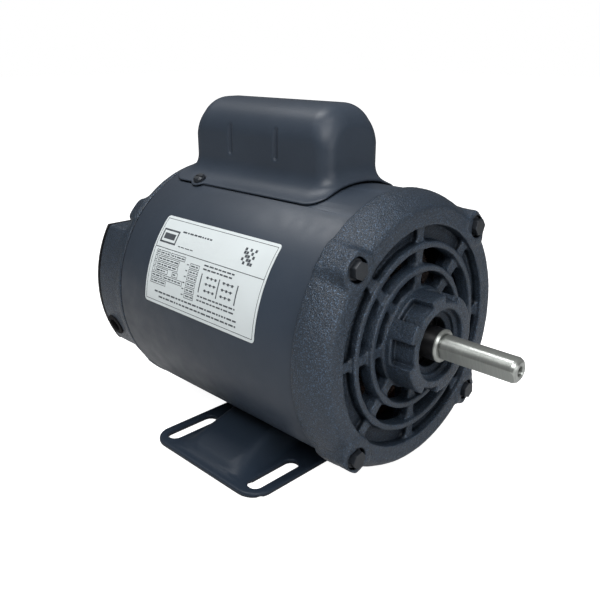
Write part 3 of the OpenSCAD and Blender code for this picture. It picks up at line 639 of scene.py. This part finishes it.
def build_spring():
    """The governor's coil, a fixed mesh riding on the rotor."""
    steps, sides = 36, 10
    rear, front = SPRING_Z
    rings = SPRING_TURNS * steps + 1
    points = []
    for i in range(rings):
        turn = 2 * math.pi * i / steps
        z = rear + (front - rear) * i / (rings - 1)
        for k in range(sides):
            lean = 2 * math.pi * k / sides
            radius = SPRING_R + SPRING_WIRE_R * math.cos(lean)
            points.append((radius * math.cos(turn), radius * math.sin(turn),
                           z + SPRING_WIRE_R * math.sin(lean)))
    faces = [tuple(range(sides)), tuple(reversed(range((rings - 1) * sides, rings * sides)))]
    for i in range(rings - 1):
        for k in range(sides):
            a, b = i * sides + k, i * sides + (k + 1) % sides
            faces.append((a, a + sides, b + sides, b))
    coil = add_piece("governor_coil", to_row(np.array(points)), faces, "rotor",
                     "bright_steel", ["governor_spring"])
    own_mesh(coil)


# ------------------------------------------------------------------ label

def label_slab(u0, u1, v0, v1):
    """A thin printed bar on the label: u from its rear edge, v down from its top edge."""
    r0, r1 = LABEL_R + 0.005, LABEL_R + 0.03
    longest_chord = 3.0
    columns = max(1, int(math.ceil(abs(v1 - v0) / longest_chord)))
    points, faces = [], []
    for i in range(columns + 1):
        v = v0 + (v1 - v0) * i / columns
        turn = math.radians(LABEL_MID) - (LABEL_HALF - v) / SHELL_R
        for radius in (r0, r1):
            for u in (u0, u1):
                points.append((radius * math.cos(turn), radius * math.sin(turn), LABEL_Z[0] + u))
    for i in range(columns):
        a, b = 4 * i, 4 * i + 4
        faces += [(a, b, b + 1, a + 1), (a + 2, a + 3, b + 3, b + 2),
                  (a, a + 2, b + 2, b), (a + 1, b + 1, b + 3, a + 3)]
    end = 4 * columns
    faces += [(0, 1, 3, 2), (end, end + 2, end + 3, end + 1)]
    return points, faces


def frame_of(u0, u1, v0, v1, line):
    """Four bars that make a box."""
    return [(u0, u1, v0, v0 + line), (u0, u1, v1 - line, v1), (u0, u0 + line, v0, v1),
            (u1 - line, u1, v0, v1)]


def print_run(u0, u1, v0, height, rng):
    """A line of small print: short bars of uneven length."""
    bars = []
    while u0 < u1 - 1:
        end = min(u0 + rng.uniform(1.2, 3.8), u1)
        bars.append((u0, end, v0, v0 + height))
        u0 = end + 0.7
    return bars


def label_layout():
    """Generic rules, boxes and bars in the places where the maker's print would be."""
    rng = np.random.default_rng(31)
    width, height, line = LABEL_Z[1] - LABEL_Z[0], 2 * LABEL_HALF, 0.32
    bars = frame_of(1.2, width - 1.2, 1.2, height - 1.2, line)
    bars += frame_of(3, 17, 7.4, 15.6, 1.0)
    bars.append((5.2, 14.8, 9.8, 13.2))
    bars += print_run(19, 44, 6.6, 0.9, rng)
    bars += print_run(20, 33, 15.2, 0.5, rng)
    bars.append((1.2, width - 1.2, 18.2, 18.6))
    table = [(0, (4, 7), (8, 16), (17, 30)), (1, (4, 6), (7, 26)), (2, (4, 6), (7, 26)),
             (3, (4, 6), (7, 18), (22, 27)), (4, (4, 14), (15, 32)), (5, (4, 18),)]
    for row, *spans in table:
        top = 19.8 + 3.2 * row
        for u0, u1 in spans:
            bars += frame_of(u0, u1, top, top + 2.7, line)
            bars += print_run(u0 + 0.8, u1 - 0.8, top + 1.0, 0.7, rng)
    for row in range(6):
        top = 21.8 + 3.2 * row
        bars += frame_of(35, 43, top, top + 2.7, line)
        bars += print_run(36, 42.4, top + 1.0, 0.7, rng)
        bars.append((32.4, 34, top + 1.0, top + 1.6))
    for row in range(2):
        bars += print_run(46, 70, 20.2 + 2.0 * row, 0.8, rng)
    for left in (50, 63):
        for row in range(3):
            top = 25.6 + 3.4 * row
            bars.append((left, left + 9, top + 0.4, top + 0.7))
            for column in range(3):
                u = left + 0.6 + 3.2 * column
                bars.append((u, u + 1.3, top, top + 1.3))
    for column in range(3):
        bars.append((46 + 14.2 * column, 46.8 + 14.2 * column, 25, 35))
    for row in range(2):
        bars += print_run(46, 76, 36.4 + 2.2 * row, 0.8, rng)
        bars += print_run(9 + 4 * row, 78, 42.0 + 2.6 * row, 0.9, rng)
    for i in range(5):
        for j in range(5):
            if (i * 3 + j * 2) % 5 < 3:
                bars.append((70 + 1.8 * i, 71.6 + 1.8 * i, 5.6 + 1.8 * j, 7.2 + 1.8 * j))
    return bars


def build_label_print():
    """All the bars of the label as one flat-shaded piece."""
    points, faces = [], []
    for bar in label_layout():
        slab_points, slab_faces = label_slab(*bar)
        base = len(points)
        points += slab_points
        faces += [tuple(i + base for i in face) for face in slab_faces]
    piece = add_piece("nameplate_print", to_row(np.array(points)), faces, "stator", "label")
    piece.data.materials[0] = MATERIALS["ink"]
    piece.data.polygons.foreach_set("use_smooth", np.zeros(len(piece.data.polygons), bool))


# ------------------------------------------------------------------ materials

class Recipe:
    """A principled material whose inputs come from procedural textures."""

    def __init__(self, name):
        self.material = bpy.data.materials.new(name)
        self.material.use_nodes = True
        self.tree = self.material.node_tree
        self.shader = self.tree.nodes["Principled BSDF"]
        self.where = self.tree.nodes.new("ShaderNodeTexCoord").outputs["Object"]
        self.normal = None

    def add(self, kind, inputs, **settings):
        """A shader node of a kind; its inputs are values or sockets."""
        node = self.tree.nodes.new("ShaderNode" + kind)
        for key, value in settings.items():
            setattr(node, key, value)
        for key, value in inputs.items():
            self.feed(node.inputs[key], value)
        return node

    def feed(self, socket, value):
        if isinstance(value, bpy.types.NodeSocket):
            self.tree.links.new(value, socket)
        else:
            socket.default_value = value

    def stretched(self, scale):
        return self.add("Mapping", {"Vector": self.where, "Scale": scale}).outputs["Vector"]

    def noise(self, size, detail=3.0, roughness=0.5):
        """Noise with features of a size in millimetres."""
        node = self.add("TexNoise", {"Vector": self.where, "Scale": 1 / (size * MM),
                                     "Detail": detail, "Roughness": roughness})
        return node.outputs["Fac"]

    def ramp(self, factor, stops):
        node = self.add("ValToRGB", {"Fac": factor})
        elements = node.color_ramp.elements
        while len(elements) < len(stops):
            elements.new(0.5)
        for element, (position, colour) in zip(elements, stops):
            element.position = position
            element.color = (*colour, 1.0)
        return node.outputs["Color"]

    def spread(self, factor, low, high, start=0.3, end=0.7):
        """Maps start to end onto low to high, without going past either."""
        node = self.add("MapRange", {"Value": factor, "From Min": start, "From Max": end,
                                     "To Min": low, "To Max": high})
        return node.outputs["Result"]

    def mix(self, factor, a, b, mode="MIX"):
        node = self.add("MixRGB", {"Fac": factor, "Color1": a, "Color2": b}, blend_type=mode)
        return node.outputs["Color"]

    def bump(self, height, depth):
        """Adds a bump of a depth in millimetres over the bumps so far."""
        inputs = {"Height": height, "Distance": depth * MM, "Strength": 1.0}
        if self.normal is not None:
            inputs["Normal"] = self.normal
        self.normal = self.add("Bump", inputs).outputs["Normal"]

    def openness(self, reach):
        """1 in the open, falling to 0 in creases and recesses; reach in millimetres. It is the
        mask for painted shade in recesses.
        """
        node = self.add("AmbientOcclusion", {"Distance": reach * MM}, samples=8)
        return self.spread(node.outputs["AO"], 0.0, 1.0, 0.35, 0.8)

    def done(self, **inputs):
        for key, value in inputs.items():
            self.feed(self.shader.inputs[key.replace("_", " ")], value)
        if self.normal is not None:
            self.feed(self.shader.inputs["Normal"], self.normal)
        return self.material


def rgba(colour):
    return (*colour, 1.0)


def shaded(colour, factor):
    return tuple(min(1.0, c * factor) for c in colour)


def worn_edges(recipe, colour, worn):
    """Mixes in a lighter colour on sharp convex edges."""
    edge = recipe.add("NewGeometry", {}).outputs["Pointiness"]
    patches = recipe.noise(3.0, 4.0)
    amount = recipe.spread(edge, 0.0, 1.0, start=0.56, end=0.64)
    amount = recipe.add("Math", {0: amount, 1: patches}, operation="MULTIPLY").outputs[0]
    return recipe.mix(amount, colour, rgba(worn))


def sheet_paint(name, colour, gloss=0.3):
    """Semi-matte powder coat on sheet metal: faint orange peel, clouds and dust, and painted shade
    in recesses.
    """
    r = Recipe(name)
    tone = r.ramp(r.noise(38.0, 3.0), [(0.3, shaded(colour, 0.93)), (0.7, shaded(colour, 1.07))])
    dust = r.ramp(r.noise(0.5, 2.0), [(0.68, (0, 0, 0)), (0.8, (0.02, 0.02, 0.02))])
    tone = r.mix(1.0, tone, dust, "ADD")
    tone = worn_edges(r, tone, shaded(colour, 2.2))
    # painted shade: in creases and recesses the paint darkens to 0.3 of its colour
    tone = r.mix(r.openness(6.0), rgba(shaded(colour, 0.3)), tone)
    r.bump(r.noise(1.3, 2.0), 0.03)
    r.bump(r.noise(0.35, 1.0), 0.006)
    return r.done(Base_Color=tone, Roughness=r.spread(r.noise(9.0, 4.0), 0.38, 0.48),
                  Specular_IOR_Level=gloss)


def casting_paint(name, colour):
    """Paint over sand-cast metal: coarse grain with small glints, and painted shade in recesses.
    """
    r = Recipe(name)
    grain = r.noise(0.75, 3.0, 0.6)
    flakes = r.spread(r.noise(0.6, 1.0), 0.0, 0.75, 0.56, 0.66)
    tone = r.ramp(r.noise(11.0, 4.0), [(0.3, shaded(colour, 0.9)), (0.7, shaded(colour, 1.1))])
    tone = r.mix(0.5, tone, r.ramp(grain, [(0.35, shaded(colour, 0.7)),
                                           (0.75, shaded(colour, 1.5))]))
    tone = r.mix(flakes, tone, rgba(shaded(colour, 6.0)))
    tone = worn_edges(r, tone, shaded(colour, 1.9))
    # painted shade: in creases and recesses the casting darkens to 0.12 of its colour, and its
    # specular level drops from 0.4 to 0.06
    open_sky = r.openness(9.0)
    tone = r.mix(open_sky, rgba(shaded(colour, 0.12)), tone)
    r.bump(r.noise(2.6, 2.0), 0.2)
    r.bump(grain, 0.5)
    return r.done(Base_Color=tone, Metallic=flakes, Roughness=r.spread(grain, 0.25, 0.42),
                  Specular_IOR_Level=r.spread(open_sky, 0.06, 0.4, 0.0, 1.0))


def turned_steel(name, colour, rough, metallic=1.0, coat=0.0, dark_behind=None):
    """Ground or turned steel with fine marks round its axis, painted shade in recesses, and
    darkened to near black behind a station in y.
    """
    r = Recipe(name)
    marks = r.add("TexNoise", {"Vector": r.stretched((0.02, 1.0, 0.02)), "Scale": 2600.0,
                               "Detail": 3.0}).outputs["Fac"]
    tone = r.ramp(marks, [(0.3, shaded(colour, 0.88)), (0.7, shaded(colour, 1.08))])
    smudge = r.noise(7.0, 4.0)
    tone = r.mix(r.spread(smudge, 0.0, 0.15), tone, rgba(shaded(colour, 0.8)))
    metal, gloss = metallic, r.spread(smudge, rough, rough + 0.12)
    if dark_behind is not None:
        # Behind the station the steel is darkened to near black and loses its metal
        station = r.add("SeparateXYZ", {"Vector": r.where}).outputs["Y"]
        darkening = r.spread(station, 0.0, 1.0, dark_behind - 0.1 * MM, dark_behind + 0.1 * MM)
        tone = r.mix(darkening, tone, rgba((0.006, 0.006, 0.007)))
        metal = r.spread(darkening, metallic, 0.0, 0.0, 1.0)
    # painted shade: in creases and recesses the steel darkens to 0.15 of its colour
    tone = r.mix(r.openness(4.0), rgba(shaded(colour, 0.15)), tone)
    r.bump(marks, 0.003)
    around = r.add("Tangent", {}, direction_type="RADIAL", axis="Y").outputs["Tangent"]
    return r.done(Base_Color=tone, Metallic=metal, Roughness=gloss, Anisotropic=0.9,
                  Anisotropic_Rotation=0.25, Tangent=around, Coat_Weight=coat,
                  Coat_Roughness=0.1)


def plated(name, colour, rough, metallic=1.0):
    """Plated or blackened fasteners and small pressings."""
    r = Recipe(name)
    tone = r.ramp(r.noise(2.2, 4.0), [(0.3, shaded(colour, 0.8)), (0.7, shaded(colour, 1.15))])
    tone = worn_edges(r, tone, shaded(colour, 1.8))
    r.bump(r.noise(0.6, 3.0), 0.02)
    return r.done(Base_Color=tone, Metallic=metallic,
                  Roughness=r.spread(r.noise(1.4, 3.0), rough, rough + 0.18))


def laminated(name, colour):
    """A stack of thin punched sheets, seen from outside as fine lines."""
    r = Recipe(name)
    sheets = r.add("TexWave", {"Vector": r.where, "Scale": 620.0, "Distortion": 0.4},
                   wave_type="BANDS", bands_direction="Y").outputs["Fac"]
    tone = r.ramp(sheets, [(0.2, shaded(colour, 0.6)), (0.8, shaded(colour, 1.1))])
    stain = r.noise(6.0, 4.0)
    tone = r.mix(r.spread(stain, 0.0, 0.4), tone, rgba((0.16, 0.12, 0.10)))
    r.bump(sheets, 0.06)
    return r.done(Base_Color=tone, Metallic=0.85, Roughness=r.spread(stain, 0.4, 0.62))


def cast_metal(name, colour):
    """Die-cast aluminium: cloudy, slightly pitted."""
    r = Recipe(name)
    clouds = r.noise(5.0, 5.0)
    tone = r.ramp(clouds, [(0.3, shaded(colour, 0.82)), (0.7, shaded(colour, 1.05))])
    r.bump(r.noise(0.9, 4.0), 0.06)
    return r.done(Base_Color=tone, Metallic=1.0, Roughness=r.spread(clouds, 0.42, 0.6))


def wound_wire(name, colour):
    """Varnished magnet wire: many strands round the shaft line."""
    r = Recipe(name)
    strands = r.add("TexWave", {"Vector": r.where, "Scale": 260.0, "Distortion": 1.5,
                                "Detail": 2.0, "Detail Scale": 2.0},
                    wave_type="RINGS", rings_direction="Y").outputs["Fac"]
    tone = r.ramp(strands, [(0.1, shaded(colour, 0.3)), (0.6, colour)])
    tone = r.mix(r.spread(r.noise(8.0, 3.0), 0.0, 0.35), tone, rgba((0.10, 0.035, 0.012)))
    r.bump(strands, 0.35)
    r.bump(r.noise(1.2, 3.0), 0.08)
    return r.done(Base_Color=tone, Metallic=0.4, Roughness=r.spread(r.noise(2.0), 0.25, 0.45),
                  Coat_Weight=0.5, Coat_Roughness=0.2)


def moulded(name, colour, rough, grain=0.5, depth=0.015, gloss=0.5):
    """Moulded or extruded plastic, rubber or resin board."""
    r = Recipe(name)
    tone = r.ramp(r.noise(4.5, 4.0), [(0.3, shaded(colour, 0.86)), (0.7, shaded(colour, 1.14))])
    r.bump(r.noise(grain, 3.0), depth)
    return r.done(Base_Color=tone, Roughness=r.spread(r.noise(2.0, 3.0), rough, rough + 0.15),
                  Specular_IOR_Level=gloss)


def fibre_paper(name, colour):
    """Slot insulation: pale paper with fibres along the slot."""
    r = Recipe(name)
    fibres = r.add("TexNoise", {"Vector": r.stretched((1.0, 0.15, 1.0)), "Scale": 1500.0,
                                "Detail": 4.0}).outputs["Fac"]
    tone = r.ramp(fibres, [(0.3, shaded(colour, 0.8)), (0.7, shaded(colour, 1.05))])
    r.bump(fibres, 0.03)
    return r.done(Base_Color=tone, Roughness=r.spread(fibres, 0.7, 0.85))


def label_stock(name, colour):
    """Satin polyester label."""
    r = Recipe(name)
    tone = r.ramp(r.noise(18.0, 3.0), [(0.3, shaded(colour, 0.97)), (0.7, shaded(colour, 1.02))])
    r.bump(r.noise(2.5, 2.0), 0.01)
    return r.done(Base_Color=tone, Roughness=r.spread(r.noise(6.0, 3.0), 0.32, 0.42))


def make_materials():
    paint = (0.028, 0.038, 0.054)
    cast = (0.017, 0.025, 0.037)
    return {
        "shell_paint": sheet_paint("shell_paint", paint),
        # painted shade: the shell's paint darkened, for the shadow under the motor on the foot
        "foot_paint_painted_shade": sheet_paint("foot_paint_painted_shade", (0.015, 0.023, 0.036), 0.2),
        "cast_paint": casting_paint("cast_paint", cast),
        "black_cover": sheet_paint("black_cover", (0.006, 0.0065, 0.008), 0.15),
        "dark_fastener": plated("dark_fastener", (0.020, 0.024, 0.030), 0.3, 0.3),
        "bright_steel": turned_steel("bright_steel", (0.50, 0.51, 0.52), 0.24),
        "shaft_steel": turned_steel("shaft_steel", (0.40, 0.42, 0.40), 0.31, 0.8, 0.2, JOURNAL_Y),
        "bearing_steel": turned_steel("bearing_steel", (0.5, 0.51, 0.53), 0.16),
        "zinc_steel": plated("zinc_steel", (0.5, 0.5, 0.48), 0.26),
        # painted shade: the laminations are darkened for the shade inside the motor
        "lamination": laminated("lamination", (0.12, 0.12, 0.125)),
        "cage_aluminium": cast_metal("cage_aluminium", (0.4, 0.41, 0.42)),
        # painted shade: both windings are copper darkened to near black, for the shade inside the
        # motor
        "copper_wire": wound_wire("copper_wire", (0.030, 0.013, 0.008)),
        "start_copper": wound_wire("start_copper", (0.040, 0.018, 0.010)),
        "insulation_paper": fibre_paper("insulation_paper", (0.72, 0.64, 0.45)),
        "phenolic": moulded("phenolic", (0.06, 0.028, 0.015), 0.35),
        "brass": plated("brass", (0.62, 0.43, 0.16), 0.25),
        "nylon": moulded("nylon", (0.72, 0.69, 0.58), 0.38),
        "lead_red": moulded("lead_red", (0.45, 0.02, 0.015), 0.38),
        "lead_white": moulded("lead_white", (0.66, 0.64, 0.58), 0.4),
        "ground_green": plated("ground_green", (0.03, 0.22, 0.07), 0.35, 0.3),
        "rubber": moulded("rubber", (0.005, 0.005, 0.006), 0.75, 0.3, 0.03, 0.2),
        "capacitor_shell": moulded("capacitor_shell", (0.02, 0.021, 0.024), 0.3),
        "label": label_stock("label", (0.60, 0.65, 0.66)),
        "ink": moulded("ink", (0.05, 0.058, 0.068), 0.5),
    }


def finish_cad_nodes():
    """Gives every CAD node its slot's procedural material."""
    for part in frame["record"]["subparts"]:
        node = frame["nodes"][part["node"]]
        name = "shaft_steel" if part["node"] == "shaft" else part["material_slot"]
        for holder in node.material_slots:
            holder.material = MATERIALS[name]


def bevel_node(node_name, width):
    """Welds and rounds the sharp edges of a CAD node."""
    node = frame["nodes"][node_name]
    weld = node.modifiers.new("Weld", "WELD")
    weld.merge_threshold = 0.01 * MM
    bevel = node.modifiers.new("Bevel", "BEVEL")
    bevel.width = width * MM
    bevel.segments = 2
    bevel.limit_method = "ANGLE"
    bevel.angle_limit = math.radians(40)
    bevel.use_clamp_overlap = False
    bevel.harden_normals = False


# ------------------------------------------------------------------ studio

FLOOR_GLOW = 0.95


def add_floor():
    """A pale floor just under the foot; it glows for the camera only, so it looks white."""
    mesh = bpy.data.meshes.new("floor")
    reach = 6.0
    mesh.from_pydata([(-reach, -reach, 0), (reach, -reach, 0), (reach, reach, 0),
                      (-reach, reach, 0)], [], [(0, 1, 2, 3)])
    floor = bpy.data.objects.new("floor", mesh)
    floor.location.z = -0.0002
    bpy.context.scene.collection.objects.link(floor)
    recipe = Recipe("floor_white")
    tone = recipe.ramp(recipe.noise(60.0, 2.0), [(0.3, (0.59, 0.59, 0.59)),
                                                 (0.7, (0.61, 0.61, 0.61))])
    seen = recipe.add("LightPath", {}).outputs["Is Camera Ray"]
    glow = recipe.spread(seen, 0.0, FLOOR_GLOW, 0.0, 1.0)
    mesh.materials.append(recipe.done(Base_Color=tone, Roughness=0.9, Specular_IOR_Level=0.0,
                                      Emission_Color=(1.0, 1.0, 1.0, 1.0),
                                      Emission_Strength=glow))


def add_softbox(name, place, target, size, power):
    """A rectangular lamp that points at its target; places in metres, power in watts."""
    light = bpy.data.lights.new(name, "AREA")
    light.shape = "RECTANGLE"
    light.size, light.size_y = size
    light.energy = power
    lamp = bpy.data.objects.new(name, light)
    lamp.location = place
    aim = Vector(target) - Vector(place)
    lamp.rotation_euler = aim.to_track_quat("-Z", "Y").to_euler()
    bpy.context.scene.collection.objects.link(lamp)


def add_world(seen, cast):
    """A white backdrop for the camera; cast is the light it gives at the horizon and above."""
    world = bpy.data.worlds.new("studio")
    world.use_nodes = True
    nodes, links = world.node_tree.nodes, world.node_tree.links
    background = nodes["Background"]
    background.inputs["Color"].default_value = (1, 1, 1, 1)
    path = nodes.new("ShaderNodeLightPath")
    direction = nodes.new("ShaderNodeTexCoord")
    split = nodes.new("ShaderNodeSeparateXYZ")
    sky = nodes.new("ShaderNodeMapRange")
    sky.inputs["From Min"].default_value = -0.05
    sky.inputs["From Max"].default_value = 0.9
    sky.inputs["To Min"].default_value, sky.inputs["To Max"].default_value = cast
    strength = nodes.new("ShaderNodeMapRange")
    strength.inputs["To Max"].default_value = seen
    links.new(direction.outputs["Generated"], split.inputs["Vector"])
    links.new(split.outputs["Z"], sky.inputs["Value"])
    links.new(sky.outputs["Result"], strength.inputs["To Min"])
    links.new(path.outputs["Is Camera Ray"], strength.inputs["Value"])
    links.new(strength.outputs["Result"], background.inputs["Strength"])
    bpy.context.scene.world = world


def add_camera():
    """Looks at the drive end and the side with the label."""
    azimuth, elevation = math.radians(-45.203), math.radians(19.679)
    target = Vector((0.0, 4.697, 75.194)) * MM
    distance = 409.705 * MM
    back = Vector((math.sin(azimuth) * math.cos(elevation),
                   -math.cos(azimuth) * math.cos(elevation), math.sin(elevation)))
    data = bpy.data.cameras.new("camera")
    data.lens = 41.7
    data.sensor_width = 36
    data.clip_start = 0.01
    camera = bpy.data.objects.new("camera", data)
    camera.location = target + back * distance
    camera.rotation_euler = (-back).to_track_quat("-Z", "Y").to_euler()
    bpy.context.scene.collection.objects.link(camera)
    bpy.context.scene.camera = camera


def build_studio():
    bpy.context.scene.view_settings.view_transform = "Standard"
    add_floor()
    add_world(1.0, (0.04, 0.32))
    centre = (0, 0, 0.08)
    add_softbox("key", (-0.5, -0.5, 0.85), centre, (0.6, 0.5), 8.5)
    add_softbox("front", (-0.1, -0.9, 0.35), centre, (0.5, 0.6), 2.5)
    add_softbox("top", (-0.13, 0.36, 1.05), (-0.13, 0, 0.08), (0.3, 0.6), 6.0)
    add_camera()


# ------------------------------------------------------------------ build

MATERIALS = make_materials()
finish_cad_nodes()
build_drive_shield()
build_rear_shield()
build_foot()
build_cover()
build_spring()
build_label_print()
for node_name, width in (("through_bolts", 0.35), ("terminal_cover", 0.5),
                         ("frame_shell", 0.25)):
    bevel_node(node_name, width)
build_studio()
